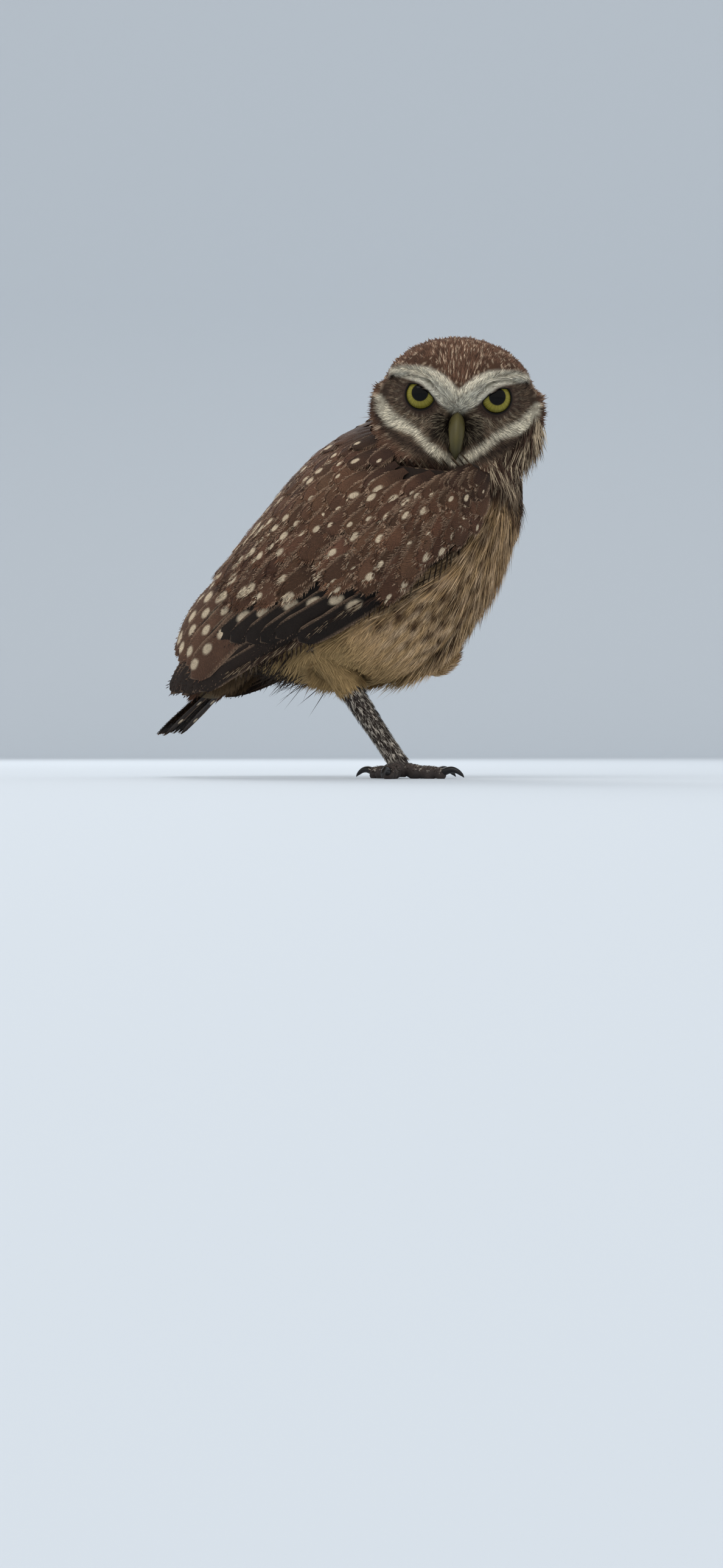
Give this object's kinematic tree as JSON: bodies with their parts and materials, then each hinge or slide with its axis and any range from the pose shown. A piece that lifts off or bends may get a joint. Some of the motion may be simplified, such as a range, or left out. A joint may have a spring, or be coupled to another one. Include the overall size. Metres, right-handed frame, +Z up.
{
  "type": "burrowing owl",
  "caption": "Still life-size burrowing owl standing on its right leg, left leg drawn up into the belly feathers, wings folded and head turned to its right.",
  "frame": {"origin": "on the ground, at the flat under the standing right foot's ball, below the ankle", "axes": "+X the way the body faces, +Y the bird's left, +Z up"},
  "size_m": [0.1844, 0.086, 0.1782],
  "materials": {
    "belly_feathers": "buff feathers barred with brown",
    "neck_feathers": "brown feathers with buff streaks",
    "head_feathers": "brown feathers, white brows and chin",
    "wing_feathers": "brown feathers with cream spots",
    "tail_feathers": "dark brown feathers with pale bars",
    "leg_bristles": "short bristly feathers over dark skin",
    "toe_skin": "scaly dark skin with bristles",
    "claw_horn": "smooth black horn",
    "bill_horn": "satin olive horn",
    "eye": "wet, clear and glossy over a yellow iris"
  },
  "bodies": {
    "root": {"torso": "belly_feathers", "neck": "neck_feathers", "head": "head_feathers", "eye_left": "eye", "eye_right": "eye", "bill_upper": "bill_horn", "bill_lower": "bill_horn", "wing_left": "wing_feathers", "wing_right": "wing_feathers", "tail": "tail_feathers", "leg_right": "leg_bristles", "leg_left": "leg_bristles", "foot_right": "toe_skin", "foot_left": "toe_skin", "claw_right_hind": "claw_horn", "claw_right_inner": "claw_horn", "claw_right_middle": "claw_horn", "claw_right_outer": "claw_horn", "claw_left_1": "claw_horn", "claw_left_2": "claw_horn", "claw_left_3": "claw_horn", "claw_left_4": "claw_horn"}
  },
  "joints": []
}
